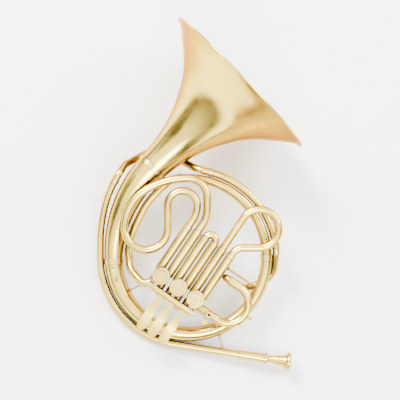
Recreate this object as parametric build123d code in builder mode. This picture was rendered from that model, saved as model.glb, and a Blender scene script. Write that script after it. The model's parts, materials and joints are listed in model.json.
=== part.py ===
"""A single French horn with three rotary valves, lying on its side, in millimetres.

The horn is drawn flat: the ring of tubing lies in the XY plane with its centre at the origin, and Z
points to the side that the player's left hand works. keep() then tips every piece into the pose in
which the horn rests on a table.
"""
from build123d import *

from math import cos, radians, sin, tan
import os

os.makedirs("parts", exist_ok=True)

# Resting pose
REST_TILT = (16.0, -7.6, 0.0)

# Bell
MOUTH_RADIUS = 156.0
MOUTH_HEADING = 44.0
FLARE_LENGTH = 218.0
BELL_SHIFT = 0.55
RIM_WIRE = 1.8
THROAT_BEND = 225.0
THROAT_JOINT = 28.0
BRANCH_LEFT = 16.0

# Ring and leadpipe
STRIP_RADIUS = 157.5
STRIP_TUBE = 6.5
STRIP_BORE = 5.9
RING_GAP = 1.4
RING_EDGE = STRIP_RADIUS - STRIP_TUBE - RING_GAP
TUBE_WALL = 0.6
BRANCH_START = 96
BEND_SHARE = 0.46
BRANCH_TIP = 6.9
BRANCH_RIGHT = 9.6
PIPE_HEADING = -8.7
PIPE_STRAIGHT = 125.0
REJOIN_ANGLE = 75
DIVE_ANGLE = 8
CROSSING_DEPTH = 60.0
INNER_BOW = 9.0
UPPER_LEG = 8.5
MAIN_SLEEVE_START = 87.0
MAIN_SLEEVE_END = 100.0
MAIN_INSERT = 11.5
MAIN_STRAIGHT = 4.4
BOW_LEAD = 3.2

# Mouthpiece
RECEIVER_LAP = 8.0
SHANK_START = 22.0
CUP_END = 90.2
RIM_RADIUS = 16.8

# Valve section
ROW_HEADING = -34.0
VALVE_LAYER = 30.0
VALVE_PITCH = 36.4
ROW_HEIGHT = -52.2
MIDDLE_VALVE = 14.7
CASING_RADIUS = 16.0
CASING_BORE = 14.05
CASING_LENGTH = 32.0
ROTOR_RADIUS = 14.0
PORT_OFFSET = 9.5
PASSAGE_RADIUS = 5.4
STEM_RADIUS = 3.0
PIVOT_RADIUS = 2.1
ROTOR_LENGTH = 26.0
PORT_SPAN = 9.9
CAP_DEPTH = 4.0
PLATE_DEPTH = 3.0
STEM_END = 3.0
ARM_DEPTH = 4.0
CRANK = 9.0
CRANK_PIN = 1.5
CRANK_REST = -45.0
PLUG_FIT = 0.05
STEM_RUNNING = 0.06
VALVE_BOW = 6.6

# Slides
SLEEVE_OUTER = 8.0
SLEEVE_BORE = 7.0
LEG_OUTER = 6.94
LEG_BORE = 6.3
FERRULE_OUTER = 8.7
FERRULE_WALL = 0.95
SLEEVE_END = 42.0
LEG_INSERT = 50.0
COIL_RADIUS = 34.0
COIL_HEIGHT = 114.0
COIL_EXIT = 22.0
MIDDLE_STRAIGHT = 6.4

# Stays and fittings
FERRULE_GAP = 0.08
STAY_RADIUS = 1.8
STAY_FOOT = 3.0
LYRE_PLACE = 86.0
LYRE_HEIGHT = 23.0
LYRE_OUTER = 5.2
LYRE_BORE = 3.0
THUMBSCREW_RADIUS = 1.5
KEY_HEADING = ROW_HEADING - 28
KEY_WIDTH = 4.2
HOOK_RISE = 26.0
HOOK_REACH = 22.0

# Levers
ROD_LAYER = 46.0
ROD_HEIGHT = -76.5
ROD_RADIUS = 3.0
ROD_RUNNING = 0.06
HUB_RADIUS = 6.0
ARM_LENGTH = 47.0
LEVER_TURN = 15.5
FOOT_PIN = 1.5
LINK_SIDE = 7.7
LINK_BORE = 3.05
LINK_EYE = 4.9
LINK_DEPTH = 2.4
PADDLE_REACH = 75.0
PADDLE_WIDTH = 16.0
PADDLE_NECK = 9.0
PADDLE_RISE = 8.0


def heading(angle):
    """The flat direction at an angle in degrees."""
    return Vector(cos(radians(angle)), sin(radians(angle)), 0)


along = heading(ROW_HEADING)
up = heading(ROW_HEADING + 90)


def spot(v, u, z=VALVE_LAYER):
    """A point of the valve section: v along the row, u across it towards the slides."""
    return along * v + up * u + Vector(0, 0, z)


def polar(radius, angle, z=0.0):
    """A point round the ring's centre."""
    return heading(angle) * radius + Vector(0, 0, z)


resting = Rotation(*REST_TILT)
made = []


def keep(name, *shapes):
    """Name a piece and tip it into the resting pose."""
    piece = resting * Compound([solid for shape in shapes for solid in shape.solids()])
    piece.label = name
    made.append(piece)


def bend(start, angle, *moves):
    """A flat tube path. A move is a straight length, or a bend as (radius, turn), left turns positive."""
    with BuildLine() as path:
        at = start
        for move in moves:
            if isinstance(move, tuple):
                edge = JernArc(at, heading(angle), *move)
                angle += move[1]
            else:
                edge = Line(at, at + heading(angle) * move)
            at = edge @ 1
    return path.wire()


def tube(path, outer, bore):
    """An open tube along a path."""
    with BuildPart() as pipe:
        with BuildSketch(Plane(path @ 0, z_dir=path % 0)):
            Circle(outer)
            Circle(bore, mode=Mode.SUBTRACT)
        sweep(path=path)
    return pipe.part


def rod(start, end, outer, bore=0.0):
    """A straight round bar, or a straight tube when it has a bore."""
    with BuildPart() as bar:
        with BuildSketch(Plane(start, z_dir=end - start)):
            Circle(outer)
            if bore:
                Circle(bore, mode=Mode.SUBTRACT)
        extrude(amount=(end - start).length)
    return bar.part


def cone_tube(stations, wall):
    """A tapering tube through stations, each a plane and an outer radius."""
    with BuildPart() as cone:
        for plane, radius in stations:
            with BuildSketch(plane):
                Circle(radius)
        loft()
        for plane, radius in stations:
            with BuildSketch(plane):
                Circle(radius - wall)
        loft(mode=Mode.SUBTRACT)
    return cone.part


def station(point, direction, radius):
    """One cross section of a tapering tube."""
    return Plane(point, x_dir=(0, 0, 1), z_dir=direction), radius


# Bell flare: a spun shell, drawn about its own axis with the mouth at zero and then set on its heading
flare_outline = [
    (MOUTH_RADIUS, 0),
    (139, 11),
    (122, 25),
    (95, 48),
    (75, 72),
    (63, 92),
    (50, 118),
    (39, 150),
    (32, 184),
    (THROAT_JOINT, FLARE_LENGTH),
]
flare_slopes = [(-1, 0.55), (-0.08, 1)]
bell_axis = heading(MOUTH_HEADING)
throat_centre = Vector(THROAT_BEND - RING_EDGE + BRANCH_LEFT, 0, 0)
MOUTH = throat_centre + heading(MOUTH_HEADING + 90) * THROAT_BEND + bell_axis * FLARE_LENGTH
bell_place = Plane(MOUTH, x_dir=(0, 0, 1), z_dir=bell_axis * -1).location
flare_lining = [(r - BELL_SHIFT, z - BELL_SHIFT) for r, z in flare_outline]

with BuildPart() as bell_flare:
    with BuildSketch(Plane.XZ):
        with BuildLine():
            outside = Spline(flare_outline, tangents=flare_slopes)
            inside = Spline(flare_lining, tangents=flare_slopes)
            Line(outside @ 0, inside @ 0)
            Line(outside @ 1, inside @ 1)
        make_face()
    revolve(axis=Axis.Z)
keep("bell_flare", bell_place * bell_flare.part)

# Rim: a bead of wire soldered round the edge of the flare
with BuildPart() as bell_rim:
    with BuildSketch(Plane.XZ):
        with Locations((MOUTH_RADIUS + RIM_WIRE, -BELL_SHIFT)):
            Circle(RIM_WIRE)
    revolve(axis=Axis.Z)
keep("bell_rim", bell_place * bell_rim.part)

# Throat: the bend between the flare and the ring
THROAT_TURN = 90 - MOUTH_HEADING


def throat_station(turn, radius):
    """A cross section of the throat, at a turn back from the flare."""
    direction = heading(MOUTH_HEADING + turn)
    side = heading(MOUTH_HEADING + turn + 90)
    return station(throat_centre + side * THROAT_BEND, direction, radius)


def ring_station(angle, radius):
    """A cross section of the bell branch, whose outer edge follows the leadpipe."""
    return station(polar(RING_EDGE - radius, angle), heading(angle - 90), radius)


def taper(start, end, share):
    """A radius part of the way from one to another."""
    return start + (end - start) * share


throat = [throat_station(THROAT_TURN * n / 4, taper(THROAT_JOINT, BRANCH_LEFT, n / 4)) for n in range(5)]
bell_throat = cone_tube(throat, TUBE_WALL)
keep("bell_throat", bell_throat)

# Bell branch: the tapering ring in two tubes that meet at the right
upper = []
for n in range(5):
    upper.append(ring_station(BRANCH_START * (1 - n / 4), taper(BRANCH_TIP, BRANCH_RIGHT, n / 4)))
lower = []
for n in range(9):
    lower.append(ring_station(-180 * n / 8, taper(BRANCH_RIGHT, BRANCH_LEFT, n / 8)))
keep("bell_branch_upper", cone_tube(upper, TUBE_WALL))
keep("bell_branch_lower", cone_tube(lower, TUBE_WALL))


def rounded(points, radius):
    """A tube path of straight runs joined by bends, as wide as the runs allow up to a largest radius."""
    with BuildLine() as path:
        at = points[0]
        for before, corner, after in zip(points, points[1:], points[2:]):
            arrive = (corner - before).normalized()
            leave = (after - corner).normalized()
            shorter = min((corner - before).length, (after - corner).length)
            cut = min(radius * tan(radians(arrive.get_angle(leave)) / 2), shorter * BEND_SHARE)
            Line(at, corner - arrive * cut)
            TangentArc(corner - arrive * cut, corner + leave * cut, tangent=arrive)
            at = corner + leave * cut
        Line(at, points[-1])
    return path.wire()


def collar(centre, direction, length, outer, bore):
    """A ring centred on a point of a tube."""
    half = direction.normalized() * (length / 2)
    return rod(centre - half, centre + half, outer, bore)


# Leadpipe: straight to the ring, round its left side, behind the bell, round its right side and back inside
pipe_line = heading(PIPE_HEADING)
pipe_leaves = polar(STRIP_RADIUS, PIPE_HEADING - 90)
with_throat = [24, (280, -14), (190, -16)]
lead = bend(pipe_leaves + pipe_line * PIPE_STRAIGHT, PIPE_HEADING + 180, PIPE_STRAIGHT,
            (STRIP_RADIUS, -90 - PIPE_HEADING), *with_throat)
keep("leadpipe", tube(lead, STRIP_TUBE, STRIP_BORE))

rejoin = polar(STRIP_RADIUS, REJOIN_ANGLE)
behind = [
    lead @ 1,
    lead @ 1 + lead % 1 * 12,
    lead @ 1 + lead % 1 * 30 + Vector(0, 0, -14),
    Vector(-68, 194, -CROSSING_DEPTH),
    Vector(-22, 180, 8 - CROSSING_DEPTH),
    rejoin - heading(REJOIN_ANGLE - 90) * 28,
    rejoin,
]
crossing = rounded(behind, 34)
keep("leadpipe_crossing", tube(crossing, STRIP_TUBE, STRIP_BORE))

right_arc = bend(rejoin, REJOIN_ANGLE - 90, (STRIP_RADIUS, DIVE_ANGLE - REJOIN_ANGLE))
keep("leadpipe_right", tube(right_arc, STRIP_TUBE, STRIP_BORE))

bow_drop = 2 * INNER_BOW
under = [
    right_arc @ 1,
    right_arc @ 1 + right_arc % 1 * 12,
    Vector(153, -36, -21),
    spot(117, UPPER_LEG, -21),
    spot(MAIN_SLEEVE_START + 5, UPPER_LEG, VALVE_LAYER - bow_drop),
    spot(MAIN_SLEEVE_START - BOW_LEAD, UPPER_LEG, VALVE_LAYER - bow_drop),
]
dive = rounded(under, 40)
with BuildLine() as turn_up:
    bow_end = spot(MAIN_SLEEVE_START - BOW_LEAD, UPPER_LEG)
    TangentArc(dive @ 1, bow_end, tangent=dive % 1)
    Line(bow_end, spot(MAIN_SLEEVE_START, UPPER_LEG))
keep("leadpipe_tail", tube(dive, STRIP_TUBE, STRIP_BORE))
keep("leadpipe_bow", tube(turn_up.wire(), STRIP_TUBE, STRIP_BORE))

# Mouthpiece and its receiver
receiver_start = pipe_leaves + pipe_line * (PIPE_STRAIGHT - RECEIVER_LAP)
receiver_outside = [(8.2, 0), (8.2, 3), (7.6, 3.6), (8.6, 44), (9.6, 45), (9.6, 50)]
receiver_inside = [(5.4, 50), (5.0, 8.4), (STRIP_TUBE, RECEIVER_LAP), (STRIP_TUBE, 0)]
with BuildPart() as receiver:
    with BuildSketch(Plane.XZ):
        Polygon(*receiver_outside, *receiver_inside, align=None)
    revolve(axis=Axis.Z)
to_mouthpiece = Plane(receiver_start, z_dir=pipe_line).location
keep("mouthpiece_receiver", to_mouthpiece * receiver.part)

with BuildPart() as mouthpiece:
    with BuildSketch(Plane.XZ):
        with BuildLine():
            Polyline((2.0, SHANK_START), (4.95, SHANK_START), (5.25, 50), (6.0, 54))
            Spline((6.0, 54), (8.6, 68), (12.0, 84), tangents=[(0.1, 1), (0.35, 1)])
            ThreePointArc((12.0, 84), (RIM_RADIUS, 87), (15.0, 91.5))
            ThreePointArc((15.0, 91.5), (12.2, 92.2), (9.6, CUP_END))
            Spline((9.6, CUP_END), (6.0, 76), (2.2, 62), tangents=[(-0.4, -1), (-0.2, -1)])
            Line((2.2, 62), (2.0, SHANK_START))
        make_face()
    revolve(axis=Axis.Z)
keep("mouthpiece", to_mouthpiece * mouthpiece.part)

# Valves, from the left: casing, caps, rotor and stop arm
valve_places = {
    "left": MIDDLE_VALVE - VALVE_PITCH,
    "middle": MIDDLE_VALVE,
    "right": MIDDLE_VALVE + VALVE_PITCH,
}
casing_base = VALVE_LAYER - CASING_LENGTH / 2
casing_top = VALVE_LAYER + CASING_LENGTH / 2
towards = Vector(0, 0, 1)
casings = {}
drums = {}
for name, v in valve_places.items():
    centre = Plane(spot(v, ROW_HEIGHT, 0), x_dir=along, z_dir=towards)
    drums[name] = rod(spot(v, ROW_HEIGHT, casing_base), spot(v, ROW_HEIGHT, casing_top), CASING_RADIUS)
    with BuildPart() as casing:
        with BuildSketch(centre.offset(casing_base)):
            Circle(CASING_RADIUS)
            Circle(CASING_BORE, mode=Mode.SUBTRACT)
        extrude(amount=CASING_LENGTH)
        for side in (-PORT_OFFSET, PORT_OFFSET):
            lowest = 0 if name == "right" and side > 0 else -30
            with BuildSketch(Plane(spot(v + side, ROW_HEIGHT + lowest), z_dir=up)):
                Circle(PASSAGE_RADIUS)
            extrude(amount=30 - lowest, mode=Mode.SUBTRACT)
        if name == "right":
            with BuildSketch(Plane(spot(v, ROW_HEIGHT - PORT_OFFSET), z_dir=along)):
                Circle(PASSAGE_RADIUS)
            extrude(amount=30, mode=Mode.SUBTRACT)
    casings[name] = casing.part
    keep(f"{name}_valve_casing", casing.part)

    with BuildPart() as cap:
        with BuildSketch(centre.offset(casing_top)):
            Circle(CASING_RADIUS - 0.6)
        extrude(amount=CAP_DEPTH)
        chamfer(cap.edges().group_by(Axis.Z)[-1], 1.2)
        with BuildSketch(centre.offset(casing_top)):
            Circle(CASING_BORE - PLUG_FIT)
        extrude(amount=-2.6)
        with BuildSketch(centre.offset(casing_top + CAP_DEPTH)):
            Circle(PIVOT_RADIUS + 0.1)
        extrude(amount=-12, mode=Mode.SUBTRACT)
        with BuildSketch(centre.offset(casing_top + CAP_DEPTH)):
            Circle(11)
            Circle(9.6, mode=Mode.SUBTRACT)
        extrude(amount=-0.6, mode=Mode.SUBTRACT)
    keep(f"{name}_valve_cap", cap.part)

    with BuildPart() as plate:
        with BuildSketch(centre.offset(casing_base)):
            Circle(CASING_RADIUS)
        extrude(amount=-PLATE_DEPTH)
        with BuildSketch(centre.offset(casing_base)):
            Circle(CASING_BORE - PLUG_FIT)
        extrude(amount=2.6)
        with BuildSketch(centre.offset(casing_base - PLATE_DEPTH)):
            Circle(STEM_RADIUS + STEM_RUNNING)
        extrude(amount=12, mode=Mode.SUBTRACT)
    keep(f"{name}_bearing_plate", plate.part)

    with BuildPart() as rotor:
        with BuildSketch(centre.offset(VALVE_LAYER - ROTOR_LENGTH / 2)):
            Circle(ROTOR_RADIUS)
        extrude(amount=ROTOR_LENGTH)
        for side in (-1, 1):
            with BuildLine() as chord:
                start = spot(v - PORT_SPAN, ROW_HEIGHT + side * PORT_SPAN)
                end = spot(v + PORT_SPAN, ROW_HEIGHT + side * PORT_SPAN)
                TangentArc(start, end, tangent=along - up * side)
            with BuildSketch(Plane(chord.line @ 0, z_dir=chord.line % 0)):
                Circle(PASSAGE_RADIUS)
            sweep(path=chord.wire(), mode=Mode.SUBTRACT)
        with BuildSketch(centre.offset(VALVE_LAYER)):
            Circle(PIVOT_RADIUS)
        extrude(amount=casing_top + CAP_DEPTH - 0.4 - VALVE_LAYER)
        with BuildSketch(centre.offset(STEM_END)):
            Circle(STEM_RADIUS)
        extrude(amount=VALVE_LAYER - ROTOR_LENGTH / 2 - STEM_END)
    keep(f"{name}_rotor", rotor.part)

    with BuildPart() as stop_arm:
        with BuildSketch(centre.offset(STEM_END)):
            Circle(5.6)
            with Locations(Location((0, 0), CRANK_REST)):
                with Locations((CRANK / 2, 0)):
                    SlotCenterToCenter(CRANK, 6)
                with Locations((-5.2, 0)):
                    Rectangle(11, 5)
            Circle(STEM_RADIUS, mode=Mode.SUBTRACT)
        extrude(amount=ARM_DEPTH)
        with BuildSketch(centre.offset(STEM_END)):
            with Locations(Location((0, 0), CRANK_REST)):
                with Locations((CRANK, 0)):
                    Circle(CRANK_PIN)
        extrude(amount=-6.5)
    keep(f"{name}_stop_arm", stop_arm.part)

corks = []
for v in valve_places.values():
    for angle in (99, 261):
        foot = spot(v, ROW_HEIGHT, STEM_END) + heading(ROW_HEADING + angle) * 9
        corks.append(rod(foot, foot + towards * (casing_base - PLATE_DEPTH - STEM_END), 2.4))
keep("stop_corks", *corks)

# Slide sleeves of the valves, the short bows between the valves, and the first branch
for name, v in valve_places.items():
    pair = []
    for side in (-PORT_OFFSET, PORT_OFFSET):
        sleeve = rod(spot(v + side, ROW_HEIGHT + 6), spot(v + side, SLEEVE_END), SLEEVE_OUTER, SLEEVE_BORE)
        pair.append(sleeve - drums[name])
    keep(f"{name}_slide_sleeves", *pair)

bows = []
for first, second in (("left", "middle"), ("middle", "right")):
    start = spot(valve_places[first] + PORT_OFFSET, ROW_HEIGHT - 8)
    path = bend(start, ROW_HEADING - 90, 12, (VALVE_PITCH / 2 - PORT_OFFSET, 180), 12)
    bows.append(tube(path, VALVE_BOW, VALVE_BOW - TUBE_WALL) - drums[first] - drums[second])
keep("valve_bows", *bows)

branch_start = upper[0][0].origin
outlet = valve_places["left"] - PORT_OFFSET
route = [
    spot(outlet, ROW_HEIGHT - 8),
    spot(outlet, ROW_HEIGHT - 20),
    spot(outlet - 10, ROW_HEIGHT - 30),
    spot(outlet - 26, ROW_HEIGHT - 27, VALVE_LAYER - 5),
    Vector(-104, -18, 12),
    Vector(-107.5, 22, 1),
    polar(110.5, 150),
    polar(123, 127),
    polar(135, 110),
    branch_start - heading(BRANCH_START - 90) * 14,
    branch_start,
]
first_branch = tube(rounded(route, 110), BRANCH_TIP, BRANCH_TIP - TUBE_WALL)
keep("first_branch", first_branch - drums["left"])

# Main tuning slide
lower_leg = ROW_HEIGHT - PORT_OFFSET
upper_start = spot(MAIN_SLEEVE_START, UPPER_LEG)
lower_start = spot(valve_places["right"] + 6, lower_leg)
upper_sleeve = rod(upper_start, spot(MAIN_SLEEVE_END, UPPER_LEG), SLEEVE_OUTER, SLEEVE_BORE)
lower_sleeve = rod(lower_start, spot(MAIN_SLEEVE_END, lower_leg), SLEEVE_OUTER, SLEEVE_BORE)
keep("main_slide_sleeves", upper_sleeve, lower_sleeve - drums["right"])
main_bow = (UPPER_LEG - lower_leg) / 2
main_leg = MAIN_INSERT + MAIN_STRAIGHT
main_foot = spot(MAIN_SLEEVE_END - MAIN_INSERT, UPPER_LEG)
main_path = bend(main_foot, ROW_HEADING, main_leg, (main_bow, -180), main_leg)
keep("main_slide_crook", tube(main_path, LEG_OUTER, LEG_BORE))
main_rings = []
for u in (UPPER_LEG, lower_leg):
    main_rings.append(collar(spot(MAIN_SLEEVE_END + 2.3, u), along, 4, FERRULE_OUTER, LEG_OUTER))
keep("main_slide_ferrules", *main_rings)


def crook_rings(v):
    """The two ferrules of a valve slide's crook."""
    rings = []
    for side in (-PORT_OFFSET, PORT_OFFSET):
        rings.append(collar(spot(v + side, SLEEVE_END + 3.3), up, 6, FERRULE_OUTER - 0.3, LEG_OUTER))
    return rings


def slide_path(v, moves):
    """The path of a valve slide's crook, from the foot of its first leg."""
    return bend(spot(v - PORT_OFFSET, slide_base), ROW_HEADING + 90, *moves)


# Middle valve slide: one short bow
slide_base = SLEEVE_END - LEG_INSERT
middle = valve_places["middle"]
middle_leg = LEG_INSERT + MIDDLE_STRAIGHT
path = slide_path(middle, [middle_leg, (PORT_OFFSET, -180), middle_leg])
keep("middle_slide_crook", tube(path, LEG_OUTER, LEG_BORE))
keep("middle_slide_ferrules", *crook_rings(middle))

# Right valve slide: a coil that stands to the right
right = valve_places["right"]
coil = [LEG_INSERT + COIL_HEIGHT - SLEEVE_END, (COIL_RADIUS, -180 - ROW_HEADING - 90)]
coil_return = (COIL_EXIT, -ROW_HEADING + 22)
reach = slide_path(right, coil + [coil_return]) @ 1
coil += [(reach.dot(along) - right - PORT_OFFSET) / along.X, coil_return]
reach = slide_path(right, coil) @ 1
coil.append(reach.dot(up) - slide_base)
keep("right_slide_crook", tube(slide_path(right, coil), LEG_OUTER, LEG_BORE))
keep("right_slide_ferrules", *crook_rings(right))

# Left valve slide: a long double loop that stands to the left
left = valve_places["left"]
upper_loop = [LEG_INSERT + 19, (45, 34), (26, 180), 40]
lower_loop = [(38.5, -180), (79.5, -60), (146.5, -30), (34, -90)]
last_turn = (50, ROW_HEADING)
loop = upper_loop + lower_loop
reach = slide_path(left, loop + [last_turn]) @ 1
loop += [(left + PORT_OFFSET - reach.dot(along)) / -along.Y, last_turn]
reach = slide_path(left, loop) @ 1
loop.append(reach.dot(up) - slide_base)
keep("left_slide_crook", tube(slide_path(left, loop), LEG_OUTER, LEG_BORE))
keep("left_slide_ferrules", *crook_rings(left))

# Finger levers: hubs on one rod, paddles over the ring and arms that reach down behind the valves
rest_swing = radians(LEVER_TURN / 2)
foot_height = ROD_HEIGHT - ARM_LENGTH * sin(rest_swing)
foot_layer = ROD_LAYER - ARM_LENGTH * cos(rest_swing)
hub_spans = {"left": (-24, 8.5), "middle": (9.0, 31.5), "right": (32.0, 54.5)}
paddle_places = {"left": -2.5, "middle": 20.5, "right": 43.5}


def across(v):
    """The plane across the row at a place along it: its x runs up to the slides and its y off the table."""
    return Plane(along * v, x_dir=up, z_dir=along)


for name, v in valve_places.items():
    first, last = hub_spans[name]
    paddle_v = paddle_places[name]
    with BuildPart() as lever:
        with BuildSketch(across(first)):
            with Locations((ROD_HEIGHT, ROD_LAYER)):
                Circle(HUB_RADIUS)
        extrude(amount=last - first)
        with BuildSketch(across(v - 1.5)):
            Polygon(
                (ROD_HEIGHT - 3, ROD_LAYER), (foot_height - 2.5, foot_layer - 2.5),
                (foot_height + 2.5, foot_layer - 2.5), (ROD_HEIGHT + 3, ROD_LAYER), align=None,
            )
        extrude(amount=3)
        with BuildSketch(across(v)):
            with Locations((foot_height, foot_layer)):
                Circle(FOOT_PIN)
        extrude(amount=LINK_SIDE + 3.4)
        with BuildSketch(across(first)):
            with Locations((ROD_HEIGHT, ROD_LAYER)):
                Circle(ROD_RADIUS + ROD_RUNNING)
        extrude(amount=last - first, mode=Mode.SUBTRACT)
    tip = ROD_HEIGHT - PADDLE_REACH
    neck = ROD_HEIGHT - 4
    crown = ROD_HEIGHT - 44
    paddle_base = ROD_LAYER
    with BuildPart() as paddle:
        with BuildSketch(across(paddle_v - PADDLE_WIDTH / 2)):
            with BuildLine():
                top = ThreePointArc(
                    (neck, paddle_base + 4.2), (crown, paddle_base + PADDLE_RISE), (tip, paddle_base + 2.2)
                )
                under_side = ThreePointArc(
                    (neck, paddle_base + 2), (crown, paddle_base + PADDLE_RISE - 2.2), (tip, paddle_base)
                )
                Line(top @ 0, under_side @ 0)
                Line(top @ 1, under_side @ 1)
            make_face()
        extrude(amount=PADDLE_WIDTH)
        with BuildSketch(Plane(spot(paddle_v, 0, 0), x_dir=along, z_dir=towards)):
            with Locations((0, ROD_HEIGHT - 9)):
                Rectangle(PADDLE_NECK, 18)
            Polygon(
                (-PADDLE_NECK / 2, ROD_HEIGHT - 18), (-PADDLE_WIDTH / 2, ROD_HEIGHT - 34),
                (PADDLE_WIDTH / 2, ROD_HEIGHT - 34), (PADDLE_NECK / 2, ROD_HEIGHT - 18), align=None,
            )
            with Locations((0, (ROD_HEIGHT - 34 + tip + PADDLE_WIDTH / 2) / 2)):
                Rectangle(PADDLE_WIDTH, PADDLE_REACH - 34 - PADDLE_WIDTH / 2)
            with Locations((0, tip + PADDLE_WIDTH / 2)):
                Circle(PADDLE_WIDTH / 2)
        extrude(amount=80, mode=Mode.INTERSECT)
    hinge_gap = rod(spot(first, ROD_HEIGHT, ROD_LAYER), spot(last, ROD_HEIGHT, ROD_LAYER), HUB_RADIUS - 0.5)
    keep(f"{name}_lever", lever.part + (paddle.part - hinge_gap))

    side = v + LINK_SIDE
    eye_height = ROW_HEIGHT + CRANK * sin(radians(CRANK_REST))
    with BuildPart() as link:
        with BuildSketch(across(side - 2)):
            with Locations((foot_height, foot_layer)):
                Circle(3.1)
        extrude(amount=4)
        with BuildSketch(Plane(spot(side, 0, foot_layer - LINK_DEPTH / 2), x_dir=along, z_dir=towards)):
            with Locations((0, (foot_height + eye_height) / 2)):
                Rectangle(3.6, eye_height - foot_height - 2)
            with Locations((0, eye_height)):
                Circle(LINK_EYE)
        extrude(amount=LINK_DEPTH)
        with BuildSketch(Plane(spot(side, eye_height, foot_layer - 3), x_dir=along, z_dir=towards)):
            Circle(LINK_BORE)
        extrude(amount=6, mode=Mode.SUBTRACT)
        with BuildSketch(across(side - 2)):
            with Locations((foot_height, foot_layer)):
                Circle(FOOT_PIN + ROD_RUNNING)
        extrude(amount=4, mode=Mode.SUBTRACT)
    keep(f"{name}_link", link.part)

rod_first = spot(-34, ROD_HEIGHT, ROD_LAYER)
rod_last = spot(64, ROD_HEIGHT, ROD_LAYER)
hinge_rod = rod(rod_first, rod_last, ROD_RADIUS)
for centre in (rod_first + along * 1.2, rod_last - along * 1.2):
    hinge_rod += collar(centre, along, 2.4, ROD_RADIUS + 1.6, ROD_RADIUS)
keep("hinge_rod", hinge_rod)

posts = []
for v, drum in ((-31, "left"), (55, "right")):
    with BuildPart() as post:
        with BuildSketch(across(v)):
            with Locations((ROD_HEIGHT, ROD_LAYER)):
                Circle(HUB_RADIUS)
            with Locations((ROD_HEIGHT + 12, casing_top - 4)):
                Rectangle(24, 6)
            with Locations((ROD_HEIGHT, ROD_LAYER)):
                Circle(ROD_RADIUS + 0.01, mode=Mode.SUBTRACT)
        extrude(amount=6)
    posts.append(post.part - drums[drum])
keep("hinge_posts", *posts)

# Ferrules over the joints of the fixed tubes
strip_ferrule = (8, STRIP_TUBE + FERRULE_WALL, STRIP_TUBE + FERRULE_GAP)
bow_joint = spot(MAIN_SLEEVE_START - BOW_LEAD / 2, UPPER_LEG)
right_joint = polar(RING_EDGE - BRANCH_RIGHT, 0)
left_joint = polar(RING_EDGE - BRANCH_LEFT + 0.1, -177.3)
rings = [
    collar(lead @ 1 - lead % 1 * 4.3, lead % 1, *strip_ferrule),
    collar(rejoin, right_arc % 0, *strip_ferrule),
    collar(right_arc @ 1, right_arc % 1, *strip_ferrule),
    collar(bow_joint, along, BOW_LEAD - 0.1, FERRULE_OUTER, STRIP_TUBE),
    collar(branch_start, heading(BRANCH_START - 90), 8, BRANCH_TIP + 1.1, BRANCH_TIP + 0.2),
    collar(right_joint, heading(-90), 10, BRANCH_RIGHT + 1.2, BRANCH_RIGHT + 0.25),
    collar(left_joint, heading(92.7), 11, BRANCH_LEFT + 1.1, BRANCH_LEFT + 0.1),
    collar(throat[0][0].origin, bell_axis, 8, THROAT_JOINT + 1.8, THROAT_JOINT + 0.8),
]
keep("ferrules", *rings)


def stay(start, end):
    """A thin round stay with a small foot on each of the two tubes that it joins."""
    line = (end - start).normalized()
    bar = rod(start, end, STAY_RADIUS)
    return bar + rod(start, start + line * 2, STAY_FOOT) + rod(end - line * 2, end, STAY_FOOT)


# Stays between the ring, the leadpipe, the bell and the valve section
right_edge = right + PORT_OFFSET + SLEEVE_OUTER
left_wall = spot(left, ROW_HEIGHT, casing_base + 4) + heading(-156) * (CASING_RADIUS + 0.4)
pipe_top = pipe_leaves + pipe_line * 86 + Vector(0, STRIP_TUBE + 0.5, 0)
stays = [
    stay(polar(RING_EDGE + 0.2, -68), pipe_top),
    stay(spot(right_edge + 0.5, 24, VALVE_LAYER - 1), polar(RING_EDGE - 21.3, -23.4, 3)),
    stay(left_wall, polar(RING_EDGE - 30.6, -151, 4)),
]
keep("stays", *stays)

# Lyre socket on the lower sleeve of the main slide, with its thumbscrew
lyre_foot = spot(LYRE_PLACE, lower_leg)
socket = rod(lyre_foot, lyre_foot + towards * LYRE_HEIGHT, LYRE_OUTER)
socket -= rod(lyre_foot - along * 12, lyre_foot + along * 12, SLEEVE_OUTER)
socket -= rod(lyre_foot + towards * (SLEEVE_OUTER + 1), lyre_foot + towards * LYRE_HEIGHT, LYRE_BORE)
screw_seat = lyre_foot + towards * 17
screw_hole = rod(screw_seat, screw_seat - up * 20, THUMBSCREW_RADIUS + 0.12)
keep("lyre_socket", socket.solids().sort_by(SortBy.VOLUME)[-1] - screw_hole)
screw = rod(screw_seat - up * (LYRE_BORE + 0.4), screw_seat - up * 10, THUMBSCREW_RADIUS)
screw += rod(screw_seat - up * 9, screw_seat - up * 11, 3.6)
screw += rod(screw_seat - up * 14.5 - towards * 0.9, screw_seat - up * 14.5 + towards * 0.9, 5)
keep("lyre_thumbscrew", screw)

# Water key on the bow of the main slide
bow_centre = spot(MAIN_SLEEVE_END + MAIN_STRAIGHT, (UPPER_LEG + lower_leg) / 2)
nipple_foot = bow_centre + along * (main_bow + LEG_OUTER - 0.1)
keep("water_nipple", rod(nipple_foot, nipple_foot + along * 4, 2.6, 1.4))
pivot = bow_centre + heading(KEY_HEADING) * (main_bow + LEG_OUTER + 5)
saddle = []
for side in (-1, 1):
    ear = rod(pivot + towards * (side * 2.4), pivot + towards * (side * 4.2), 2.6)
    with BuildPart() as leg:
        with BuildSketch(Plane(pivot + towards * (side * 3.3), x_dir=heading(KEY_HEADING), z_dir=towards)):
            with Locations((-2.3, 0)):
                Rectangle(5.4, 4)
        extrude(amount=0.9, both=True)
    saddle.append(ear + leg.part)
key_pin = rod(pivot - towards * 4.8, pivot + towards * 4.8, 1.1)
keep("water_key_saddle", saddle[0] + saddle[1] + key_pin)
cork_seat = nipple_foot + along * 4.1
keep("water_key_cork", rod(cork_seat, cork_seat + along * 2.4, 3.6))
key_side = Plane(pivot - towards * (KEY_WIDTH / 2), x_dir=along, z_dir=towards)
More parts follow.
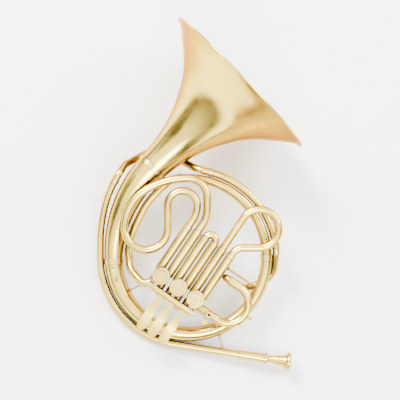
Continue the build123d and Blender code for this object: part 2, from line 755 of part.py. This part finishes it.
tip = key_side.to_local_coords(cork_seat + along * 3.2)
with BuildPart() as water_key:
    with BuildSketch(key_side):
        Circle(2.7)
        with BuildLine():
            Polyline(
                (-1, 1), (tip.X - 0.8, tip.Y - 5), (tip.X - 0.8, tip.Y + 3), (tip.X + 0.9, tip.Y + 3),
                (tip.X + 0.9, tip.Y - 5.4), (2.2, -1.2), (1.5, -13), (-0.6, -13), (-1, 1),
            )
        make_face()
        Circle(1.16, mode=Mode.SUBTRACT)
    extrude(amount=KEY_WIDTH)
keep("water_key", water_key.part)

# Hook for the little finger, on the ring
hook_foot = polar(RING_EDGE - BRANCH_LEFT, -163, BRANCH_LEFT - 0.6)
hook_side = heading(107)
hook = [
    hook_foot,
    hook_foot + towards * HOOK_RISE,
    hook_foot + towards * HOOK_RISE + hook_side * HOOK_REACH,
    hook_foot + towards * (HOOK_RISE - 14) + hook_side * HOOK_REACH,
]
keep("finger_hook", tube(rounded(hook, HOOK_REACH / 2), 2.2, 0.4))

# Stand the horn's box on the origin, and write the pieces
box = Compound([solid for piece in made for solid in piece.solids()]).bounding_box()
standing = Location((-box.center().X, -box.center().Y, -box.min.Z))
made = [standing * piece for piece in made]
for piece in made:
    export_step(piece, f"parts/{piece.label}.step")
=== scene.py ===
"""A lacquered single French horn lying on a pale table, seen square on to its ring of tubing."""

import json
import math

import bmesh
import bpy
from mathutils import Matrix, Vector


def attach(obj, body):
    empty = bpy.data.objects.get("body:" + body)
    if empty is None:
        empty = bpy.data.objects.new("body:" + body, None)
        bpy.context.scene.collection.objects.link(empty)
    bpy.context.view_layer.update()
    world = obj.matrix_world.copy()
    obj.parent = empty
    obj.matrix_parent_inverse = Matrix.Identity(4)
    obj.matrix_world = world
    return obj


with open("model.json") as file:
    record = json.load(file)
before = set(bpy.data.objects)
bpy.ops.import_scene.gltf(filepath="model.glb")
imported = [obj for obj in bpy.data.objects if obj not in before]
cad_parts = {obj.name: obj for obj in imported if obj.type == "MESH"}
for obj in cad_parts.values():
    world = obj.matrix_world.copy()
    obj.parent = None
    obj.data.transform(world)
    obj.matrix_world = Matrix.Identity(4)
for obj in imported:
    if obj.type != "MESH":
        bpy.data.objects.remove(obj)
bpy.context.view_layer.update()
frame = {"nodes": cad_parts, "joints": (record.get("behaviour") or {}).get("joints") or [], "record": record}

# The horn's own flat frame, from its joints: x and y lie in the ring's plane and z stands on it.
# The row of valves runs 34 degrees below x; the bell's mouth lies this far from the ring's centre.
ROW_HEADING = math.radians(-34)
RING_TO_MOUTH = Vector((0.0915, 0.3140))
joints = {j["name"]: j for j in frame["joints"]}
along = Vector(joints["main_slide"]["axis"])
up = Vector(joints["middle_valve_slide"]["axis"])
flat_x = along * math.cos(ROW_HEADING) - up * math.sin(ROW_HEADING)
flat_y = along * math.sin(ROW_HEADING) + up * math.cos(ROW_HEADING)
flat_z = flat_x.cross(flat_y)
mounts = {m["name"]: m for m in frame["record"]["mounts"]}
mouth = Vector(mounts["bell_mouth"]["pos_m"])
ring_centre = mouth - flat_x * RING_TO_MOUTH.x - flat_y * RING_TO_MOUTH.y


def flat(x, y, z=0.0):
    """A point of the horn's flat frame, in metres."""
    return ring_centre + flat_x * x + flat_y * y + flat_z * z


class Tree:
    """A short way to build a material's node tree."""

    def __init__(self, name):
        self.material = bpy.data.materials.new(name)
        self.material.use_nodes = True
        self.nodes = self.material.node_tree.nodes
        self.links = self.material.node_tree.links
        self.shader = self.nodes["Principled BSDF"]
        self.place = self.add("ShaderNodeTexCoord").outputs["Object"]

    def add(self, kind, **values):
        node = self.nodes.new(kind)
        for key, value in values.items():
            setattr(node, key, value)
        return node

    def join(self, source, target):
        self.links.new(source, target)

    def noise(self, scale, detail=3.0, roughness=0.5):
        node = self.add("ShaderNodeTexNoise")
        node.inputs["Scale"].default_value = scale
        node.inputs["Detail"].default_value = detail
        node.inputs["Roughness"].default_value = roughness
        self.join(self.place, node.inputs["Vector"])
        return node.outputs["Fac"]

    def ramp(self, source, *stops):
        """A colour ramp; each stop is a place and a grey or a colour."""
        node = self.add("ShaderNodeValToRGB")
        elements = node.color_ramp.elements
        while len(elements) < len(stops):
            elements.new(0.5)
        for element, (place, value) in zip(elements, stops):
            element.position = place
            element.color = (*value, 1) if isinstance(value, tuple) else (value, value, value, 1)
        self.join(source, node.inputs["Fac"])
        return node.outputs["Color"]

    def mix(self, share, first, second, blend="MIX"):
        """Mix two colours; each is a socket or a colour, and so is the share."""
        node = self.add("ShaderNodeMix", data_type="RGBA", blend_type=blend)
        for socket, value in ((node.inputs[0], share), (node.inputs[6], first), (node.inputs[7], second)):
            if isinstance(value, bpy.types.NodeSocket):
                self.join(value, socket)
            else:
                socket.default_value = (*value, 1) if isinstance(value, tuple) else value
        return node.outputs[2]

    def bump(self, *layers):
        """Stack bumps; each layer is a height, a strength and a depth in metres."""
        normal = None
        for height, strength, depth in layers:
            node = self.add("ShaderNodeBump")
            node.inputs["Strength"].default_value = strength
            node.inputs["Distance"].default_value = depth
            self.join(height, node.inputs["Height"])
            if normal:
                self.join(normal, node.inputs["Normal"])
            normal = node.outputs["Normal"]
        self.join(normal, self.shader.inputs["Normal"])

    def crevice(self, distance):
        """How enclosed the surface is: 1 in the open, towards 0 in a crevice."""
        node = self.add("ShaderNodeAmbientOcclusion", samples=6)
        node.inputs["Distance"].default_value = distance
        return node.outputs["AO"]

    def crevice_shade(self, under, reach, full, gone, colour):
        """Lay painted shade over a colour in crevices of a reach: full at one openness and gone at another.
        """
        share = self.ramp(self.crevice(reach), (full, 1.0), (gone, 0.0))
        return self.mix(share, under, colour)

    def worn(self, radius):
        """Where hands and cloths rub: 1 on a sharp edge, broken up by noise, and 0 on a face."""
        bevel = self.add("ShaderNodeBevel", samples=4)
        bevel.inputs["Radius"].default_value = radius
        surface = self.add("ShaderNodeNewGeometry")
        agree = self.add("ShaderNodeVectorMath", operation="DOT_PRODUCT")
        self.join(bevel.outputs["Normal"], agree.inputs[0])
        self.join(surface.outputs["Normal"], agree.inputs[1])
        edge = self.ramp(agree.outputs["Value"], (0.80, 1.0), (0.985, 0.0))
        patches = self.ramp(self.noise(90, 4, 0.65), (0.38, 0.25), (0.6, 1.0))
        return self.mix(1.0, edge, patches, "MULTIPLY")


# Painted crevice shade: its reach in metres, the openness where it is full and where it is gone, and its
# colour
TUBE_CREVICE_SHADE = (0.026, 0.35, 0.95, (0.10, 0.045, 0.006))
SEAM_CREVICE_SHADE = (0.0022, 0.5, 0.88, (0.13, 0.05, 0.004))
STEEL_CREVICE_SHADE = (0.006, 0.3, 0.85, (0.06, 0.045, 0.03))
# Wear: how round a worn edge is, in metres, the metal laid bare there and its roughness
BRASS_WEAR_RADIUS = 0.0007
BARE_BRASS = (0.93, 0.78, 0.50)
BARE_ROUGHNESS = 0.42
STEEL_WEAR_RADIUS = 0.0004
BARE_STEEL = (0.90, 0.89, 0.86)
# Lacquer: how soon the painted edge shade in the deep colour begins, its tint at grazing angles and its
# clear coat
EDGE_SHADE_BLEND = 0.32
LACQUER_TINT = (0.84, 0.52, 0.08)
COAT_WEIGHT = 0.12
COAT_ROUGHNESS = 0.12


def gold(name, pale, deep, low_rough, high_rough, grain):
    """Lacquered brass: pale where it faces the eye, with painted shade deepening it at its turned edges and
    darkening it where tubes meet.
    """
    tree = Tree(name)
    # Painted shade: the colour deepens towards the deep colour where the surface turns away from the eye
    edge_shade_weight = tree.add("ShaderNodeLayerWeight")
    edge_shade_weight.inputs["Blend"].default_value = EDGE_SHADE_BLEND
    edge = tree.ramp(edge_shade_weight.outputs["Facing"], (0.08, 0.0), (0.62, 1.0))
    body = tree.mix(edge, pale, deep)
    cloud = tree.ramp(tree.noise(14, 4), (0.35, 0.0), (0.7, 0.35))
    body = tree.mix(cloud, body, deep)
    # Painted shade: ambient occlusion darkens the colour in crevices and where tubes meet
    body = tree.crevice_shade(body, *TUBE_CREVICE_SHADE)
    body = tree.crevice_shade(body, *SEAM_CREVICE_SHADE)
    worn = tree.worn(BRASS_WEAR_RADIUS)
    body = tree.mix(worn, body, BARE_BRASS)
    tree.join(body, tree.shader.inputs["Base Color"])
    smears = tree.ramp(tree.noise(38, 5, 0.6), (0.3, low_rough), (0.75, high_rough))
    tree.join(tree.mix(worn, smears, (BARE_ROUGHNESS,) * 3), tree.shader.inputs["Roughness"])
    tree.shader.inputs["Metallic"].default_value = 1.0
    tree.shader.inputs["Specular Tint"].default_value = (*LACQUER_TINT, 1)
    tree.shader.inputs["Coat Weight"].default_value = COAT_WEIGHT
    tree.shader.inputs["Coat Roughness"].default_value = COAT_ROUGHNESS
    tree.bump((tree.noise(grain, 2), 0.12, 0.0002), (tree.noise(26, 2), 0.12, 0.0012))
    return tree.material


def steel(name):
    """Polished nickel silver with a fine grain, and painted shade in its crevices."""
    tree = Tree(name)
    tone = tree.ramp(tree.noise(60, 4), (0.3, (0.62, 0.58, 0.50)), (0.75, (0.80, 0.77, 0.70)))
    # Painted shade: ambient occlusion darkens the steel in its crevices
    tone = tree.crevice_shade(tone, *STEEL_CREVICE_SHADE)
    worn = tree.worn(STEEL_WEAR_RADIUS)
    tree.join(tree.mix(worn, tone, BARE_STEEL), tree.shader.inputs["Base Color"])
    tree.join(tree.ramp(tree.noise(120, 4), (0.3, 0.16), (0.7, 0.34)), tree.shader.inputs["Roughness"])
    tree.shader.inputs["Metallic"].default_value = 1.0
    tree.bump((tree.noise(1400, 2), 0.15, 0.0002))
    return tree.material


def cork(name):
    """Pressed cork: brown crumbs with darker pits."""
    tree = Tree(name)
    crumbs = tree.add("ShaderNodeTexVoronoi")
    crumbs.inputs["Scale"].default_value = 900
    tree.join(tree.place, crumbs.inputs["Vector"])
    tone = tree.ramp(crumbs.outputs["Distance"], (0.1, (0.44, 0.27, 0.13)), (0.7, (0.20, 0.10, 0.045)))
    tree.join(tone, tree.shader.inputs["Base Color"])
    tree.join(tree.ramp(tree.noise(700), (0.3, 0.75), (0.7, 0.95)), tree.shader.inputs["Roughness"])
    tree.bump((crumbs.outputs["Distance"], 0.5, 0.0004))
    return tree.material


# Each brass: its pale and deep colours, its least and greatest roughness, and the scale of its grain
BRASSES = {
    "lacquered_brass": ((1.0, 0.76, 0.13), (0.31, 0.145, 0.003), 0.14, 0.28, 1500),
    "bright_brass": ((1.0, 0.84, 0.24), (0.42, 0.22, 0.006), 0.10, 0.20, 1800),
    "rotor_brass": ((0.75, 0.50, 0.10), (0.34, 0.17, 0.01), 0.22, 0.36, 2200),
    "patina": ((0.075, 0.034, 0.006), (0.03, 0.012, 0.002), 0.38, 0.58, 1600),
}
finishes = {name: gold(name, *look) for name, look in BRASSES.items()}
finishes["steel"] = steel("steel")
finishes["cork"] = cork("cork")
for subpart in frame["record"]["subparts"]:
    node = frame["nodes"][subpart["node"]]
    for material_slot in node.material_slots:
        material_slot.material = finishes[subpart["material_slot"]]


# Small fittings: knurled rings and bearing covers on the valve caps, and slotted screws, in metres
SINK = 0.0001
KNURL_DROP = 0.0039
KNURL_RADIUS = 0.0159
KNURL_WIDTH = 0.0007
KNURL_HEIGHT = 0.0026
GROOVE_DROP = 0.0005
GROOVE_RADIUS = 0.01095
GROOVE_WIDTH = 0.0013
GROOVE_FILL = 0.0004
RING_SOFTNESS = 0.00004
COVER_RADIUS = 0.0046
COVER_HEIGHT = 0.0009
STEM_SCREW_RADIUS = 0.0026
STEM_SCREW_HEIGHT = 0.001
ROD_SCREW_RADIUS = 0.0036
ROD_SCREW_HEIGHT = 0.0009
SLOT_SHARE = 0.16  # of a screw's radius


def prism(mesh, outline, bottom, top):
    """Add an upright block with this outline to a bmesh."""
    floor_ring = [mesh.verts.new((x, y, bottom)) for x, y in outline]
    top_ring = [mesh.verts.new((x, y, top)) for x, y in outline]
    mesh.faces.new(floor_ring[::-1])
    mesh.faces.new(top_ring)
    for n in range(len(outline)):
        after = (n + 1) % len(outline)
        mesh.faces.new((floor_ring[n], floor_ring[after], top_ring[after], top_ring[n]))


def circle(radius, count, start=0.0, sweep=2 * math.pi):
    """Points round a circle, or along an arc of it."""
    steps = count if sweep == 2 * math.pi else count - 1
    angles = [start + sweep * n / steps for n in range(count)]
    return [(radius * math.cos(angle), radius * math.sin(angle)) for angle in angles]


def fitting(name, mesh, place, axis, body, finish, softness):
    """Turn a bmesh into a piece that stands on a place, points along an axis and rides on a body."""
    data = bpy.data.meshes.new(name)
    bmesh.ops.recalc_face_normals(mesh, faces=mesh.faces)
    mesh.to_mesh(data)
    mesh.free()
    data.materials.append(finishes[finish])
    piece = bpy.data.objects.new(name, data)
    bpy.context.scene.collection.objects.link(piece)
    piece.matrix_world = Matrix.Translation(place) @ axis.to_track_quat("Z", "Y").to_matrix().to_4x4()
    rounding = piece.modifiers.new("rounding", "BEVEL")
    rounding.width = softness
    rounding.segments = 2
    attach(piece, body)


def patina_ring(name, place, axis, body, radius, width, height, teeth=56, depth=0.0004):
    """A tarnished ring, with fine upright teeth round its edge."""
    mesh = bmesh.new()
    count = teeth * 4
    outline = []
    for n, (x, y) in enumerate(circle(1.0, count)):
        reach = radius if n % 4 < 2 else radius - depth
        outline.append((x * reach, y * reach))
    inside = circle(radius - width, count)
    rings = []
    for points in (outline, inside):
        for level in (0.0, height):
            rings.append([mesh.verts.new((x, y, level)) for x, y in points])
    low_out, high_out, low_in, high_in = rings
    sides = ((low_out, high_out), (high_out, high_in), (high_in, low_in), (low_in, low_out))
    for n in range(count):
        after = (n + 1) % count
        for first, second in sides:
            mesh.faces.new((first[n], first[after], second[after], second[n]))
    fitting(name, mesh, place, axis, body, "patina", RING_SOFTNESS)


def slotted_screw(name, place, axis, body, radius, height, finish="steel"):
    """A round head with a slot across it: a full disc below, and two halves above."""
    mesh = bmesh.new()
    turn_in = math.asin(SLOT_SHARE)
    prism(mesh, circle(radius, 40), 0.0, height * 0.5)
    for start in (turn_in, math.pi + turn_in):
        half = circle(radius * 0.999, 22, start, math.pi - 2 * turn_in)
        prism(mesh, half, height * 0.5, height)
    fitting(name, mesh, place, axis, body, finish, radius * 0.06)


def reach_along(node, axis):
    """How far a node's mesh reaches along an axis: the least and the most."""
    reaches = [vertex.co.dot(axis) for vertex in frame["nodes"][node].data.vertices]
    return min(reaches), max(reaches)


for name in ("left", "middle", "right"):
    pivot = Vector(joints[f"{name}_rotor_turn"]["pos_m"])
    cap_top = pivot + flat_z * (reach_along(f"{name}_valve_cap", flat_z)[1] - pivot.dot(flat_z))
    stem_end = pivot + flat_z * (reach_along(f"{name}_rotor", flat_z)[0] - pivot.dot(flat_z))
    place = cap_top - flat_z * KNURL_DROP
    patina_ring(f"{name}_cap_knurl", place, flat_z, "horn", KNURL_RADIUS, KNURL_WIDTH, KNURL_HEIGHT)
    place = cap_top - flat_z * GROOVE_DROP
    patina_ring(
        f"{name}_cap_groove", place, flat_z, "horn", GROOVE_RADIUS, GROOVE_WIDTH, GROOVE_FILL, 24, 0.0
    )
    place = cap_top - flat_z * SINK
    slotted_screw(
        f"{name}_bearing_cover", place, flat_z, "horn", COVER_RADIUS, COVER_HEIGHT, "bright_brass"
    )
    place = stem_end + flat_z * SINK
    slotted_screw(
        f"{name}_stem_screw", place, -flat_z, f"{name}_rotor_body", STEM_SCREW_RADIUS, STEM_SCREW_HEIGHT
    )

hinge = Vector(joints["middle_lever_press"]["pos_m"])
rod_start, rod_end = (reach - hinge.dot(along) for reach in reach_along("hinge_rod", along))
for name, place, axis in (
    ("hinge_screw_left", hinge + along * (rod_start + SINK), -along),
    ("hinge_screw_right", hinge + along * (rod_end - SINK), along),
):
    slotted_screw(name, place, axis, "horn", ROD_SCREW_RADIUS, ROD_SCREW_HEIGHT, "bright_brass")


# Table, lights and cards, in metres and watts
TABLE_SIZE = 14
CARD_SIZE = 1.1
CARD_PLACES = {
    "card_left": (-1.9, 0.2, 1.1),
    "card_right": (1.9, -0.4, 1.1),
    "card_near": (0.2, -2.2, 1.0),
}
SKY_STRENGTH = 3.4
SKY_LOW = (0.1, (0.10, 0.075, 0.05))
SKY_HIGH = (0.75, (1.0, 0.99, 0.97))


def square(name, size, place, facing):
    """A flat square that faces a direction and isn't part of the horn."""
    bpy.ops.mesh.primitive_plane_add(size=size, location=place)
    plane = bpy.context.object
    plane.name = name
    plane.rotation_euler = Vector(facing).to_track_quat("Z", "Y").to_euler()
    return plane


def table_paper(name):
    """Pale matt paper, faintly clouded."""
    tree = Tree(name)
    paper = tree.ramp(tree.noise(3, 4), (0.3, (0.90, 0.895, 0.885)), (0.7, (0.93, 0.925, 0.915)))
    tree.join(paper, tree.shader.inputs["Base Color"])
    tree.join(tree.ramp(tree.noise(60), (0.3, 0.55), (0.7, 0.7)), tree.shader.inputs["Roughness"])
    tree.bump((tree.noise(500, 2), 0.1, 0.0004))
    return tree.material


def dark_card(name):
    """Matt black card, for the dark streaks in the metal."""
    tree = Tree(name)
    tree.join(tree.ramp(tree.noise(2), (0.4, 0.02), (0.6, 0.03)), tree.shader.inputs["Base Color"])
    tree.shader.inputs["Roughness"].default_value = 0.9
    return tree.material


table = square("table", TABLE_SIZE, (0, 0, 0), (0, 0, 1))
table.data.materials.append(table_paper("table_paper"))
card_stock = dark_card("dark_card")
for name, place in CARD_PLACES.items():
    card = square(name, CARD_SIZE, place, Vector((0, 0, 0.2)) - Vector(place))
    card.data.materials.append(card_stock)
    card.visible_camera = False  # seen only in the metal


def softbox(name, place, size, power, colour=(1, 1, 1)):
    """A square area light that looks at the middle of the horn."""
    light = bpy.data.lights.new(name, "AREA")
    light.size = size
    light.energy = power
    light.color = colour
    lamp = bpy.data.objects.new(name, light)
    lamp.location = place
    lamp.rotation_euler = (Vector((0, 0, 0.1)) - Vector(place)).to_track_quat("-Z", "Y").to_euler()
    bpy.context.scene.collection.objects.link(lamp)


softbox("key", (-1.3, 1.5, 2.4), 1.2, 330, (1.0, 0.98, 0.94))
softbox("fill", (1.9, 0.7, 1.8), 1.6, 120)
softbox("front", (0.1, -1.9, 2.2), 1.4, 120)

# Sky: dim and warm low down, white overhead
world = bpy.data.worlds.new("studio")
bpy.context.scene.world = world
world.use_nodes = True
backdrop = world.node_tree.nodes["Background"]
sky_place = world.node_tree.nodes.new("ShaderNodeTexCoord")
sky_height = world.node_tree.nodes.new("ShaderNodeSeparateXYZ")
sky_tone = world.node_tree.nodes.new("ShaderNodeValToRGB")
for element, (height, colour) in zip(sky_tone.color_ramp.elements, (SKY_LOW, SKY_HIGH)):
    element.position = height
    element.color = (*colour, 1)
world.node_tree.links.new(sky_place.outputs["Generated"], sky_height.inputs["Vector"])
world.node_tree.links.new(sky_height.outputs["Z"], sky_tone.inputs["Fac"])
world.node_tree.links.new(sky_tone.outputs["Color"], backdrop.inputs["Color"])
backdrop.inputs["Strength"].default_value = SKY_STRENGTH

# Camera: square on to the ring, with the horn's own upright; distances in metres of the flat frame
VIEW_DISTANCE = 3.0
VIEW_WIDTH = 0.716
VIEW_CENTRE = (0.0206, 0.1038)
camera = bpy.data.objects.new("camera", bpy.data.cameras.new("camera"))
bpy.context.scene.collection.objects.link(camera)
camera.data.lens = camera.data.sensor_width * VIEW_DISTANCE / VIEW_WIDTH
turn = Matrix((flat_x, flat_y, flat_z)).transposed().to_4x4()
camera.matrix_world = Matrix.Translation(flat(*VIEW_CENTRE, VIEW_DISTANCE)) @ turn
bpy.context.scene.camera = camera
